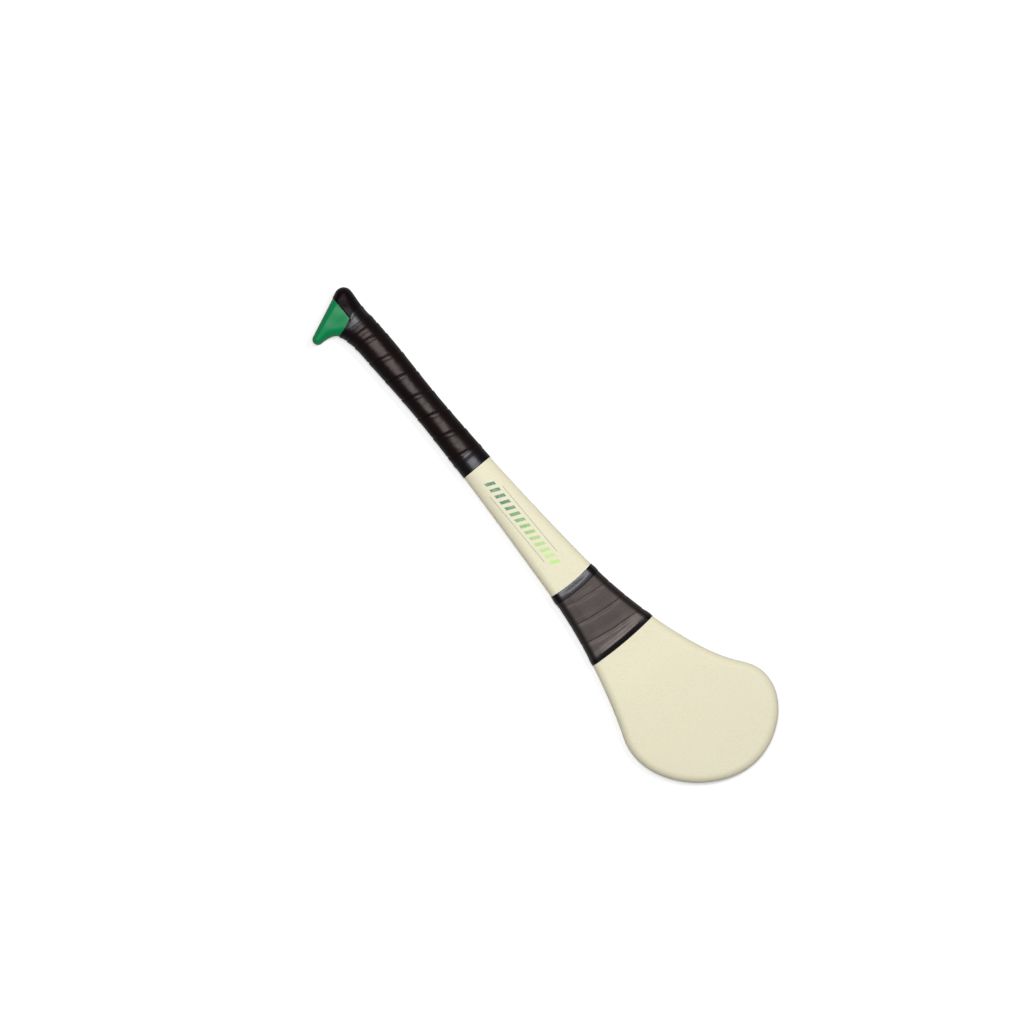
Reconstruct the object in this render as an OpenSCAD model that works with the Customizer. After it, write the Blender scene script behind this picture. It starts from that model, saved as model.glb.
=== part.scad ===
// Hurley: a stick with a flat curved blade, the bas, for a field game played with a small ball.
// Two moulded half shells meet along the rim, round a stiff spar in the handle and a foam core
// in the bas. A hooked cap closes the butt, and black tape covers the grip and the throat.
// Millimetres. The stick lies on its back: +X runs along the handle to the bas, +Y to the toe
// side and +Z up. The origin is under the middle of its box, on the surface it lies on.

/* [Whole stick] */
// Length from the butt to the far end of the bas
length = 610; // [580:5:700]
// Thickness over the tape at the butt, where the stick is thickest
butt_thickness = 25.2; // [23.6:0.2:28]
// Thickness between the flat faces, carried on to the far end of the bas
toe_thickness = 14.8; // [13:0.2:18]
// Depth sanded off the back of the bas, which leaves one flat face to lie on
sanding = 0.05; // [0.04:0.01:0.1]

/* [Handle under the tape] */
// Edge on the toe side at the neck, from the centre line
neck_toe_side = 14.4; // [13.5:0.1:16]
// Edge on the hook side at the neck, where it runs out into the hook
neck_hook_side = 20.6; // [19.6:0.1:22]
// Distance from the butt to the swell behind the neck
swell_x = 66; // [60:1:80]
// Edge on the toe side at the swell
swell_toe_side = 15.6; // [14.5:0.1:17]
// Edge on the hook side at the swell
swell_hook_side = 15; // [14:0.1:16.5]
// Distance from the butt to the waist of the grip
waist_x = 138; // [125:1:155]
// Edge on the toe side at the waist
waist_toe_side = 14.6; // [13.6:0.1:16]
// Edge on the hook side at the waist
waist_hook_side = 13.2; // [12.6:0.1:15]
// Width of the rounding along each edge of the handle
handle_rounding = 12; // [9:0.5:12.5]
// How much lower each face of the handle lies towards its edges than along its middle
face_crown = 1.2; // [0:0.1:1.4]
// Distance from the centre line over which the faces drop by that much
crown_reach = 18; // [16:0.5:22]

/* [Bas and throat] */
// Distance from the far end back to the end of the straight shaft
shaft_back = 245; // [235:1:260]
// Edge on the toe side at the end of the shaft
shaft_toe_side = 25.8; // [23:0.1:28]
// Edge on the hook side at the end of the shaft
shaft_hook_side = 24.5; // [22:0.1:27]
// Distance from the centre line to the toe
toe_reach = 87.6; // [80:0.2:95]
// Distance from the centre line to the heel of the bas
heel_reach = 61.6; // [56:0.2:68]
// Distance from the far end back to the widest place on the toe side
toe_back = 57.5; // [52:0.5:64]
// Distance from the far end back to the widest place on the hook side
heel_back = 79.5; // [74:0.5:86]
// Distance from the widest place on the toe side back to the bend before it
toe_bend_back = 40; // [37:0.5:44]
// Distance of that bend inside the toe's widest reach
toe_bend_in = 19.5; // [18:0.2:22]
// Distance from the widest place on the hook side back to the bend before it
heel_bend_back = 32; // [29:0.5:36]
// Distance of that bend inside the heel's widest reach
heel_bend_in = 8; // [7:0.2:9.5]
// Distance of the far end from the centre line, to the toe side
end_offset = 22.2; // [16:0.2:28]
// Width of the rounding along the rim of the bas
bas_rounding = 8; // [6:0.5:9.5]

/* [Heel cap] */
// Length of the cap along the handle, up to its joint with the shells
cap_length = 36.5; // [35:0.5:40]
// Radius of the butt's outer corner
corner_radius = 8.4; // [8:0.1:9]
// Distance from the centre line to the top of the outer corner
corner_reach = 15.5; // [14.9:0.1:16.5]
// Distance from the centre line to the tip of the hook
hook_reach = 44; // [41:0.5:48]
// Distance of the hook's tip from the butt
hook_x = 25; // [23:0.5:26.5]
// Radius of the hook's tip
hook_radius = 5.3; // [5:0.1:6]
// Width of the rounding round the butt
cap_rounding = 7.6; // [6:0.2:7.8]
// Width of the rounding at the hook's tip
hook_rounding = 4.6; // [4:0.1:4.8]
// How much each face of the hook thins down to its tip
hook_thinning = 2.2; // [1:0.2:3]
// How much lower the cap's faces lie at the toe side than along their crest
cap_crown = 2.2; // [1.2:0.1:2.4]
// Distance by which that crest bends away to the hook side
crest_shift = 8; // [4:0.5:9]
// Length over which it bends, back from the neck
crest_run = 22; // [18:0.5:26]
// Distance from the butt to where the cap's faces start to drop towards the neck
cap_drop_start = 20; // [18:0.5:24]
// Length of the level neck of the cap, under the neck tape
cap_neck = 6.5; // [5:0.5:8]

/* [Inside] */
// Wall of the two moulded shells
wall = 3.2; // [2.6:0.1:4]
// Clearance round the core, the spar and the spar's tenon
fit_gap = 0.1; // [0.06:0.02:0.2]
// Clearance between the cap and the ends of the shells
joint_gap = 0.1; // [0.06:0.02:0.2]
// Distance from the far end back to the start of the foam core
core_back = 208; // [200:1:218]
// Clearance between the end of the spar and the core
core_gap = 0.2; // [0.1:0.05:0.4]
// Length of the spar's tenon in the cap
tenon_length = 22; // [18:1:24]
// Width of the tenon
tenon_width = 15; // [13:0.5:16]
// Thickness of the tenon
tenon_thickness = 11; // [9:0.5:11.5]

/* [Tapes] */
// Clearance under every tape
tape_gap = 0.08; // [0.06:0.01:0.1]
// Thickness of the strap round the butt
strap_thickness = 0.45; // [0.35:0.05:0.6]
// Distance of the strap's edges from the centre line, to the hook side
strap_edge = 2; // [0:0.2:4]
// Share of the cap's top edge, counted from its joint, that the neck tape covers
neck_tape_share = 0.3; // [0.24:0.01:0.4]
// Length of the neck tape beyond the cap
neck_tape_beyond = 1.3; // [1.2:0.1:2.4]
// Thickness of the neck tape and of the three finishing tapes
finishing_thickness = 0.65; // [0.5:0.05:0.8]
// Thickness of the grip tape at the edge that laps over the turn before
grip_thickness = 1.0; // [0.8:0.05:1.1]
// Thickness of the throat tape at its lapped edge
throat_thickness = 0.8; // [0.6:0.05:1]
// Share of the thickness that is left where the next turn begins
thin_share = 0.72; // [0.6:0.02:0.9]
// Gap between one turn of a tape and the next
turn_gap = 0.5; // [0.46:0.02:0.6]
// Gap between two tapes that lie end to end
end_gap = 0.3; // [0.2:0.05:0.5]
// Distance from the butt to the end of the grip
grip_end = 218.4; // [205:0.2:235]
// Width of the finishing tape at the end of the grip
grip_finish_width = 16.5; // [12:0.5:19]
// Pitch of the first close turns at the neck
close_pitch = 9.6; // [8:0.2:12]
// Number of close turns
close_turns = 2; // [1:1:3]
// Pitch of the turns along the grip
grip_pitch = 23.8; // [20:0.2:27]
// Distance from the far end back to the upper end of the throat tape
throat_upper_back = 250; // [246:0.5:256]
// Distance from the far end back to the lower end of the throat tape
throat_lower_back = 173; // [170:0.5:177]
// Width of the upper finishing tape on the throat
upper_width = 9.6; // [7:0.2:12]
// Width of the lower finishing tape on the throat
lower_width = 4.4; // [3.6:0.2:8]
// Pitch of the turns on the throat
throat_pitch = 21; // [18:0.5:24]
// How far the ends of the throat tape bow towards the bas on the flat faces
tape_bow = 2; // [0:0.2:3]
// Depth by which the tape's outer face stays below the plane of the flat faces
tape_sink = 0.2; // [0.1:0.05:0.4]
// Length past the throat tape over which the faces rise again to full thickness
bas_rise = 42; // [30:1:60]

/* [Hidden] */

cream = "#ece8cb";
foam = "#e6d49a";
fibre = "#3b3b3d";
green = "#1f9a5c";
black = "#1c1a1c";

butt_half = butt_thickness / 2;
toe_half = toe_thickness / 2;
// Length of level shaft past the throat tape
past_tape = 5;
// Angle by which the tapered stick tips when it lies on its back
lie = atan((butt_half - toe_half) / length);
middle_y = (toe_reach - heel_reach) / 2;

// Depth of the handle and the throat below the plane of the faces, which the tapes fill
tape_relief = sanding + tape_gap + max(grip_thickness, throat_thickness) + tape_sink;
cap_relief = sanding + tape_gap + strap_thickness;
cap_drop_end = cap_length - cap_neck;
bas_start = length - throat_lower_back + past_tape;
rounding_start = grip_end;
rounding_end = length - shaft_back;

// A section goes round each edge in equal steps of angle, then in one step to the middle of the face
rim_steps = 5;
half_steps = 2 * rim_steps + 2;
all_steps = 2 * half_steps;
// Distances between sections along the handle and the throat, and how many there are in the neck
handle_step = 13.5;
throat_step = 8;
neck_steps = 6;
neck_zone = 56;
tiny = 0.000001;

// Curves through knots, each [x, y, heading, pull before it, pull after it]. A pull is a share of
// the distance to the next knot on that side.
toe_edge_knots = [
    [cap_length, neck_toe_side, 6, 0, 0.271],
    [swell_x, swell_toe_side, 1.5, 0.339, 0.3055],
    [waist_x, waist_toe_side, 0, 0.361, 0.255],
    [length - shaft_back, shaft_toe_side, 5, 0.3255, 0.254],
    [length - toe_back - toe_bend_back, toe_reach - toe_bend_in, 31, 0.293, 0.393],
    [length - toe_back, toe_reach, 0, 0.4045, 0.3675],
    [length, end_offset, -90, 0.3445, 0]
];
hook_edge_knots = [
    [cap_length, -neck_hook_side, 35, 0, 0.133],
    [swell_x, -swell_hook_side, 1, 0.566, 0.3055],
    [waist_x, -waist_hook_side, 0, 0.361, 0.255],
    [length - shaft_back, -shaft_hook_side, -4, 0.3255, 0.3145],
    [length - heel_back - heel_bend_back, -heel_reach + heel_bend_in, -19.5, 0.293, 0.4245],
    [length - heel_back, -heel_reach, 0, 0.4245, 0.333],
    [length, end_offset, 90, 0.368, 0]
];
shaft_knot = 3;

function smooth(t) = let(s = min(1, max(0, t))) s * s * (3 - 2 * s);
function mix(a, b, t) = a + (b - a) * t;
function unit(v) = v / norm(v);
function heading(angle) = [cos(angle), sin(angle)];
function spot(k) = [k[0], k[1]];
// The four points that shape the curve from one knot to the next
function pull(a, b) =
    let(d = norm(spot(b) - spot(a)))
    [spot(a), spot(a) + a[4] * d * heading(a[2]), spot(b) - b[3] * d * heading(b[2]), spot(b)];
function curve(a, b, t) =
    let(p = pull(a, b), s = 1 - t)
    s * s * s * p[0] + 3 * s * s * t * p[1] + 3 * s * t * t * p[2] + t * t * t * p[3];
function curve_way(a, b, t) =
    let(p = pull(a, b), s = 1 - t)
    unit(s * s * (p[1] - p[0]) + 2 * s * t * (p[2] - p[1]) + t * t * (p[3] - p[2]));
// Place along a curve at which it reaches a given x, by halving
halvings = 26;
function place(a, b, x, low = 0, high = 1, left = halvings) =
    let(t = (low + high) / 2)
    left == 0 ? t
    : curve(a, b, t)[0] < x ? place(a, b, x, t, high, left - 1)
    : place(a, b, x, low, t, left - 1);
function knot_before(knots, x, i = 0) =
    i >= len(knots) - 2 || x < knots[i + 1][0] ? i : knot_before(knots, x, i + 1);
function edge_y(knots, x) =
    let(i = knot_before(knots, x)) curve(knots[i], knots[i + 1], place(knots[i], knots[i + 1], x))[1];

// The two edges from the cap to the bas, every millimetre, to be looked up
toe_edge = [for (x = [cap_length : 1 : bas_start + 1]) [x, edge_y(toe_edge_knots, x)]];
hook_edge = [for (x = [cap_length : 1 : bas_start + 1]) [x, edge_y(hook_edge_knots, x)]];

// 1 on the handle, falling to 0 at the end of the shaft
function on_handle(x) = 1 - smooth((x - rounding_start) / (rounding_end - rounding_start));

// Half thickness of the moulded stick: a straight taper, set back where tape lies on it, with
// faces that are crowned on the handle and the cap
function face_plane(x) = butt_half - (butt_half - toe_half) * x / length;
function relief(x) =
    let(drop = smooth((x - cap_drop_start) / (cap_drop_end - cap_drop_start)))
    x < cap_length ? mix(cap_relief, tape_relief, drop)
    : tape_relief * (1 - smooth((x - bas_start) / bas_rise));
function hook_thin(p) =
    let(down = smooth((-p[1] - neck_hook_side) / (hook_reach - neck_hook_side)))
    p[0] < cap_length ? hook_thinning * down : 0;
function crown(p) =
    let(bend = smooth((cap_drop_end - p[0]) / crest_run),
        off = p[1] + crest_shift * bend,
        drop = off > 0 ? mix(face_crown, cap_crown, bend) : face_crown)
    drop * smooth(abs(off) / crown_reach) * on_handle(p[0]);
function half_thickness(p) = face_plane(p[0]) - relief(p[0]) - hook_thin(p) - crown(p);

// A station holds the two edge points, the way inwards from each, and the width of the rounding
function stick_station(x) =
    [[x, lookup(x, toe_edge)], [0, -1], [x, lookup(x, hook_edge)], [0, 1],
     mix(bas_rounding, handle_rounding, on_handle(x))];
function bas_station(i, s) =
    let(a = toe_edge_knots[i],
        b = toe_edge_knots[i + 1],
        c = hook_edge_knots[i],
        d = hook_edge_knots[i + 1],
        first = i == shaft_knot,
        t = first ? mix(place(a, b, bas_start), 1, s) : s,
        u = first ? mix(place(c, d, bas_start), 1, s) : s,
        turn = first ? smooth(s) : 1,
        v = curve_way(a, b, t),
        w = curve_way(c, d, u))
    [curve(a, b, t), unit(mix([0, -1], [v[1], -v[0]], turn)),
     curve(c, d, u), unit(mix([0, 1], [-w[1], w[0]], turn)), bas_rounding];

// Point of a section: step 0 is the toe side edge, half_steps the hook side edge, and the back
// face follows. Out is the distance outside the moulded surface, and is less than 0 inside it.
function rim_point(edge, inwards, rounding, angle, side, out) =
    let(p = edge + inwards * ((rounding + out) * (1 - cos(angle)) - out))
    [p[0], p[1], side * (half_thickness(p) + out) * sin(angle)];
function section_point(st, step, out) =
    let(k = (step + 2 * all_steps) % all_steps,
        side = k <= half_steps ? 1 : -1,
        m = k <= half_steps ? k : all_steps - k,
        middle = (st[0] + st[1] * st[4] + st[2] + st[3] * st[4]) / 2)
    m <= rim_steps ? rim_point(st[0], st[1], st[4], 90 * m / rim_steps, side, out)
    : m == rim_steps + 1 ? [middle[0], middle[1], side * (half_thickness(middle) + out)]
    : rim_point(st[2], st[3], st[4], 90 * (half_steps - m) / rim_steps, side, out);
function section(st, out, first = 0, last = all_steps - 1) =
    [for (k = [first : last]) section_point(st, k, out)];

// Solids from rows of points. A shell has an outer and an inner row at each station, and a loft
// has one closed ring. Where an end narrows to an edge, the empty triangles are dropped.
function apart(pts, f) =
    min([for (i = [0 : 2]) norm(pts[f[i]] - pts[f[(i + 1) % 3]])]) > tiny;
function quad(a, b, c, d) = [[a, b, c], [a, c, d]];
function sheet_faces(rows, cols, base, closed) =
    [for (j = [0 : rows - 2], i = [0 : cols - (closed ? 1 : 2)])
        each quad(base + j * cols + i, base + j * cols + (i + 1) % cols,
                  base + (j + 1) * cols + (i + 1) % cols, base + (j + 1) * cols + i)];
function turned(faces) = [for (f = faces) [f[2], f[1], f[0]]];
// Backward is for rows that run towards the butt, or that go round the stick the other way
module solid(pts, faces, backward) {
    kept = [for (f = faces) if (apart(pts, f)) f];
    polyhedron(points = pts, faces = backward ? kept : turned(kept), convexity = 8);
}
module shell(outer, inner, closed = false, backward = false, last_is_edge = false) {
    rows = len(outer);
    cols = len(outer[0]);
    n = rows * cols;
    top = (rows - 1) * cols;
    pts = [for (r = outer) each r, for (r = inner) each r];
    ends = [for (i = [0 : cols - (closed ? 1 : 2)])
        each concat(quad(i, i + n, (i + 1) % cols + n, (i + 1) % cols), last_is_edge ? []
                    : quad(top + i, top + (i + 1) % cols, top + (i + 1) % cols + n, top + i + n))];
    sides = closed ? [] : [for (j = [0 : rows - 2])
        each concat(quad(j * cols, (j + 1) * cols, (j + 1) * cols + n, j * cols + n),
                    quad(j * cols + cols - 1, j * cols + cols - 1 + n,
                         (j + 1) * cols + cols - 1 + n, (j + 1) * cols + cols - 1))];
    solid(pts, concat(sheet_faces(rows, cols, 0, closed), turned(sheet_faces(rows, cols, n, closed)),
                      ends, sides), backward);
}
function centre(ring, i = 0, sum = [0, 0, 0]) =
    i == len(ring) ? sum / len(ring) : centre(ring, i + 1, sum + ring[i]);
module loft(rings, last_is_edge, backward = false) {
    rows = len(rings);
    cols = len(rings[0]);
    n = rows * cols;
    pts = [for (r = rings) each r, centre(rings[0]), centre(rings[rows - 1])];
    first_end = [for (i = [0 : cols - 1]) [n, (i + 1) % cols, i]];
    last_end = last_is_edge ? []
        : [for (i = [0 : cols - 1]) [n + 1, n - cols + i, n - cols + (i + 1) % cols]];
    used = last_is_edge ? [for (i = [0 : n]) pts[i]] : pts;
    solid(used, concat(sheet_faces(rows, cols, 0, true), first_end, last_end), backward);
}

// Lays the stick on its back, with the plane of its back faces just under z = 0
module laid() {
    translate([-length * cos(lie) / 2, -middle_y, butt_half * cos(lie) - sanding])
        rotate([0, lie, 0])
            children();
}

// Stations of the moulded stick, close together where its edges curve
function spread(from, to, step) =
    let(n = max(1, ceil((to - from) / step)))
    [for (i = [0 : n - 1]) mix(from, to, i / n)];
shell_start = cap_length + joint_gap;
core_start = length - core_back;
shaft_places = concat(spread(shell_start, neck_zone, (neck_zone - cap_length) / neck_steps),
                      spread(neck_zone, rounding_end, handle_step),
                      spread(rounding_end, core_start, throat_step),
                      spread(core_start, bas_start, throat_step));
// Steps on each of the three curves of the bas
bas_steps = [7, 7, 12];
bas_stations = [
    for (i = [0 : 2])
        for (s = [0 : bas_steps[i] - 1])
            bas_station(shaft_knot + i, s / bas_steps[i]),
    bas_station(shaft_knot + 2, 1)
];
stick_stations = concat([for (x = shaft_places) stick_station(x)], bas_stations);

module half_skin(first, last) {
    color(cream)
        laid()
            shell([for (st = stick_stations) section(st, 0, first, last)],
                  [for (st = stick_stations) section(st, -wall, first, last)], last_is_edge = true);
}
module front_skin() {
    half_skin(0, half_steps);
}
module back_skin() {
    color(cream)
        intersection() {
            half_skin(half_steps, all_steps);
            translate([-length, -length, 0])
                cube([2 * length, 2 * length, butt_thickness]);
        }
}
module bas_core() {
    inner_stations = [for (st = stick_stations) if (st[0][0] >= core_start - tiny) st];
    color(foam)
        laid()
            loft([for (st = inner_stations) section(st, -wall - fit_gap)], true);
}
// The tenon starts in the cap and ends just inside the spar
module tenon(gap) {
    size = [tenon_length + joint_gap + fit_gap, tenon_width, tenon_thickness];
    translate([cap_length - tenon_length - gap, -size[1] / 2 - gap, -size[2] / 2 - gap])
        cube(size + 2 * gap * [1, 1, 1]);
}
module handle_spar() {
    inner_stations = [for (st = stick_stations) if (st[0][0] < core_start - core_gap - tiny) st];
    color(fibre)
        laid()
            union() {
                loft([for (st = concat(inner_stations, [stick_station(core_start - core_gap)]))
                      section(st, -wall - fit_gap)], false);
                tenon(0);
            }
}

// The cap's two sides, from the joint at 0 to the tip of the hook at 4: along the top edge, round
// the outer corner, down the slanted end face and round the tip, with the inner side of the hook
corner = [corner_radius + tape_gap + strap_thickness, corner_reach - corner_radius];
tip = [hook_x, -hook_reach + hook_radius];
// Angle at which the end face leaves both circles
end_face_angle = 180 + atan2(tip[0] - corner[0], corner[1] - tip[1])
    + asin((corner_radius - hook_radius) / norm(tip - corner));
face_top = corner + corner_radius * heading(end_face_angle);
face_foot = tip + hook_radius * heading(end_face_angle);
// The top edge and the inner side of the hook, as pairs of knots
top_from = [cap_length, neck_toe_side, 186, 0, 0.3625];
top_to = [corner[0], corner_reach, 180, 0.2175, 0];
inside_from = [cap_length, -neck_hook_side, -145, 0, 0.3135];
inside_to = [hook_x + hook_radius, tip[1], -90, 0.4705, 0];
// Shares of the hook's inner curve at the ends of the first two stretches
inside_at_corner = 0.3;
inside_at_end_face = 0.42;
// Share of the top edge along which the sections turn from straight across to square with the edges
cap_turn = 0.7;
function cap_side(v) =
    v < 1 ? let(w = curve_way(top_from, top_to, v)) [curve(top_from, top_to, v), [-w[1], w[0]]]
    : v < 2 ? let(n = heading(mix(90, end_face_angle, v - 1))) [corner + corner_radius * n, -n]
    : v < 3 ? let(n = heading(end_face_angle)) [mix(face_top, face_foot, v - 2), -n]
    : let(n = heading(mix(end_face_angle, 270, v - 3))) [tip + hook_radius * n, -n];
function cap_inside(v) =
    let(t = v < 1 ? inside_at_corner * v * v
          : v < 2 ? mix(inside_at_corner, inside_at_end_face, v - 1)
          : mix(inside_at_end_face, 1, v - 2),
        w = curve_way(inside_from, inside_to, min(t, 1)),
        n = heading(-90 * (v - 3)))
    v < 3 ? [curve(inside_from, inside_to, t), [w[1], -w[0]]] : [tip + hook_radius * n, -n];
function cap_rounding_at(v) =
    v < 1 ? mix(handle_rounding, cap_rounding, smooth(v))
    : v < 2 ? cap_rounding : mix(cap_rounding, hook_rounding, smooth(v - 2));
function cap_station(v) =
    let(a = cap_side(v), b = cap_inside(v), turn = smooth(v / cap_turn))
    [a[0], unit(mix([0, -1], a[1], turn)), b[0], unit(mix([0, 1], b[1], turn)), cap_rounding_at(v)];
// Steps on each of the cap's four stretches
cap_steps = [6, 6, 6, 4];
cap_places = [
    for (i = [0 : 3])
        for (s = [0 : cap_steps[i] - 1])
            i + s / cap_steps[i],
    4
];
module heel_cap() {
    color(green)
        laid()
            difference() {
                loft([for (v = cap_places) section(cap_station(v), 0)], true, backward = true);
                tenon(fit_gap);
            }
}

// Bands of tape round the stick
module band(stations, thickness) {
    shell([for (st = stations) section(st, tape_gap + thickness)],
          [for (st = stations) section(st, tape_gap)], true);
}
function throat_station(x, step) =
    let(st = stick_station(x),
        y = section_point(st, step, 0)[1] / max(st[0][1], -st[2][1]))
    stick_station(x + tape_bow * (1 - y * y));
function throat_section(x, out) =
    [for (k = [0 : all_steps - 1]) section_point(throat_station(x, k), k, out)];
module throat_band(from, to) {
    places = [from, (from + to) / 2, to];
    color(black)
        laid()
            shell([for (x = places) throat_section(x, tape_gap + finishing_thickness)],
                  [for (x = places) throat_section(x, tape_gap)], true);
}

neck_tape_end = shell_start + neck_tape_beyond;
neck_tape_steps = 3;
module neck_tape() {
    on_cap = [for (s = [neck_tape_steps : -1 : 0]) cap_station(neck_tape_share * s / neck_tape_steps)];
    on_handle = [for (x = [shell_start, neck_tape_end]) stick_station(x)];
    color(black)
        laid()
            band(concat(on_cap, on_handle), finishing_thickness);
}

// The strap covers the cap from one edge line on the front face, round the butt, to one on the
// back face
module heel_strap() {
    start = neck_tape_share + end_gap / (cap_length - corner_radius);
    covered = [start, for (v = cap_places) if (v > start + tiny) v];
    color(black)
        laid()
            intersection() {
                difference() {
                    loft([for (v = covered) section(cap_station(v), tape_gap + strap_thickness)],
                         true, backward = true);
                    loft([for (v = concat([0], covered)) section(cap_station(v), tape_gap)],
                         true, backward = true);
                }
                translate([-cap_length, -strap_edge, -butt_thickness])
                    cube([2 * cap_length, 2 * corner_reach, 2 * butt_thickness]);
            }
}

// Wound tapes: one strip that climbs round the stick, a turn for each all_steps rows, from the
// middle of the front face towards the toe side. Its ends taper so that they finish square.
function girth_shares(x, k = 0, so_far = [0]) =
    k == all_steps ? so_far / so_far[all_steps]
    : let(st = stick_station(x),
          a = section_point(st, rim_steps + 1 - k, 0),
          b = section_point(st, rim_steps - k, 0))
      girth_shares(x, k + 1, concat(so_far, [so_far[k] + norm(b - a)]));
function turns_at(shares, row) =
    let(whole = floor(row / all_steps)) whole + shares[row - whole * all_steps];
function lap_edge(from, pitch, close, n_close, turns) =
    from + (turns <= n_close ? close * turns : close * n_close + pitch * (turns - n_close));
// Least width at the strip's pointed ends, and the most turns that are looked through
narrowest = 1;
longest_wrap = 14;
function strip(shares, from, to, pitch, close, n_close) =
    [for (row = [-all_steps : longest_wrap * all_steps])
        let(turns = turns_at(shares, row),
            low = max(from, lap_edge(from, pitch, close, n_close, turns)),
            high = min(to, lap_edge(from, pitch, close, n_close, turns + 1) - turn_gap))
        if (high - low >= narrowest) [row, low, high]];
// Places across the strip, from its edge towards the butt. The grip tape was wound from the butt,
// so that edge laps over the turn before. The throat tape was wound from the bas, and its other
// edge laps.
across = [0, 0.35, 0.65, 1];
function lapped(thickness, share, bowed) = thickness * mix(1, thin_share, bowed ? 1 - share : share);
function strip_row(r, thickness, outer, bowed) =
    let(step = (rim_steps + 1 - r[0] + longest_wrap * all_steps) % all_steps)
    [for (share = across)
        let(x = mix(r[1], r[2], share))
        section_point(bowed ? throat_station(x, step) : stick_station(x), step,
                      outer ? tape_gap + lapped(thickness, share, bowed) : tape_gap)];
module strip_solid(rows, thickness, bowed) {
    shell([for (r = rows) strip_row(r, thickness, true, bowed)],
          [for (r = rows) strip_row(r, thickness, false, bowed)]);
}
// Least distance from the far edge of a turn to the near edge of the next
function strip_gap(rows, thickness, bowed) =
    let(inner = [for (r = rows) strip_row(r, thickness, false, bowed)])
    min([for (i = [all_steps : len(rows) - 1])
        let(way = unit(inner[i][0] - inner[i - 1][0]),
            away = inner[i][0] - inner[i - all_steps][len(across) - 1])
        norm(away - (away * way) * way)]);

grip_rows = strip(girth_shares(waist_x), neck_tape_end + end_gap, grip_end - grip_finish_width - end_gap,
                  grip_pitch, close_pitch, close_turns);
throat_upper = length - throat_upper_back;
throat_lower = length - throat_lower_back;
throat_rows = strip(girth_shares((throat_upper + throat_lower) / 2), throat_upper + upper_width + end_gap,
                    throat_lower - lower_width - end_gap, throat_pitch, throat_pitch, 0);
module grip_wrap() {
    echo(grip_turns = len(grip_rows) / all_steps,
         least_gap = strip_gap(grip_rows, grip_thickness, false));
    color(black)
        laid()
            strip_solid(grip_rows, grip_thickness, false);
}
module throat_wrap() {
    echo(throat_turns = len(throat_rows) / all_steps,
         least_gap = strip_gap(throat_rows, throat_thickness, true));
    color(black)
        laid()
            strip_solid(throat_rows, throat_thickness, true);
}
module grip_finishing_tape() {
    from = grip_end - grip_finish_width;
    color(black)
        laid()
            band([for (s = [0 : 2]) stick_station(mix(from, grip_end, s / 2))], finishing_thickness);
}
module throat_upper_tape() {
    throat_band(throat_upper, throat_upper + upper_width);
}
module throat_lower_tape() {
    throat_band(throat_lower - lower_width, throat_lower);
}

front_skin();
back_skin();
bas_core();
handle_spar();
heel_cap();
heel_strap();
neck_tape();
grip_wrap();
grip_finishing_tape();
throat_upper_tape();
throat_wrap();
throat_lower_tape();
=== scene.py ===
import math
from collections import namedtuple

import bmesh
import bpy
import numpy as np
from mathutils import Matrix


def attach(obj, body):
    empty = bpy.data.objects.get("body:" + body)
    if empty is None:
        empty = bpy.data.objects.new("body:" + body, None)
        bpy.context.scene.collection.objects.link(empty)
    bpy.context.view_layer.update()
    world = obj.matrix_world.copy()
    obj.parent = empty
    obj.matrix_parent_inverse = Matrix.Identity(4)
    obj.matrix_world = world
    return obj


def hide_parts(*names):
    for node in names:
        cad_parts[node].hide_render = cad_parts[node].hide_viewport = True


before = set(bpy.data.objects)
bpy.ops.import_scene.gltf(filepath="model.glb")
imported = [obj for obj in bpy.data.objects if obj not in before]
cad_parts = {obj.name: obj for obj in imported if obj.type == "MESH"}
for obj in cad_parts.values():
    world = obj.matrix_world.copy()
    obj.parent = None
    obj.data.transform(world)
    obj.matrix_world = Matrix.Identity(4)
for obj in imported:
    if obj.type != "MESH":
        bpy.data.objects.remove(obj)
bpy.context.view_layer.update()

# The hurley lies on its back. Sizes below are in millimetres, in the stick's own frame: x runs
# from the butt along the handle, y to the toe side and z out of the front face, from the middle
# of the stick's thickness. laid() turns that into the frame's metres.
MM = 0.001

# Whole stick
LENGTH = 610.0
BUTT_HALF = 12.6
TOE_HALF = 7.4
SANDING = 0.05
LIE = math.atan((BUTT_HALF - TOE_HALF) / LENGTH)

# Moulded handle, throat and bas. BACK is a distance from the far end, and a BEND is how far back
# from the toe or heel the edge bends, and how far in.
SWELL_X = 66.0
SWELL_TOE_SIDE = 15.6
SWELL_HOOK_SIDE = 15.0
WAIST_X = 138.0
WAIST_TOE_SIDE = 14.6
WAIST_HOOK_SIDE = 13.2
HANDLE_ROUNDING = 12.0
FACE_CROWN = 1.2
CROWN_REACH = 18.0
SHAFT_END = LENGTH - 245
SHAFT_TOE_SIDE = 25.8
SHAFT_HOOK_SIDE = 24.5
TOE_REACH = 87.6
TOE_BACK = 57.5
TOE_BEND = (40.0, 19.5)
HEEL_REACH = 61.6
HEEL_BACK = 79.5
HEEL_BEND = (32.0, 8.0)
MIDDLE_Y = (TOE_REACH - HEEL_REACH) / 2
BAS_ROUNDING = 8.0
BAS_START = 442.0
BAS_RISE = 42.0
FAR_END_Y = 22.2
WALL = 3.2

# Heel cap
CAP_LENGTH = 36.5
NECK_TOE_SIDE = 14.4
NECK_HOOK_SIDE = 20.6
CORNER_RADIUS = 8.4
CORNER_REACH = 15.5
HOOK_REACH = 44.0
HOOK_X = 25.0
HOOK_RADIUS = 5.3
CAP_ROUNDING = 7.6
HOOK_ROUNDING = 4.6
HOOK_THINNING = 2.2
CAP_DROP = (20.0, 30.0)
CAP_CROWN = 2.2
CREST_SHIFT = 8.0
CREST_RUN = 22.0
JOINT_GAP = 0.1
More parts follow.
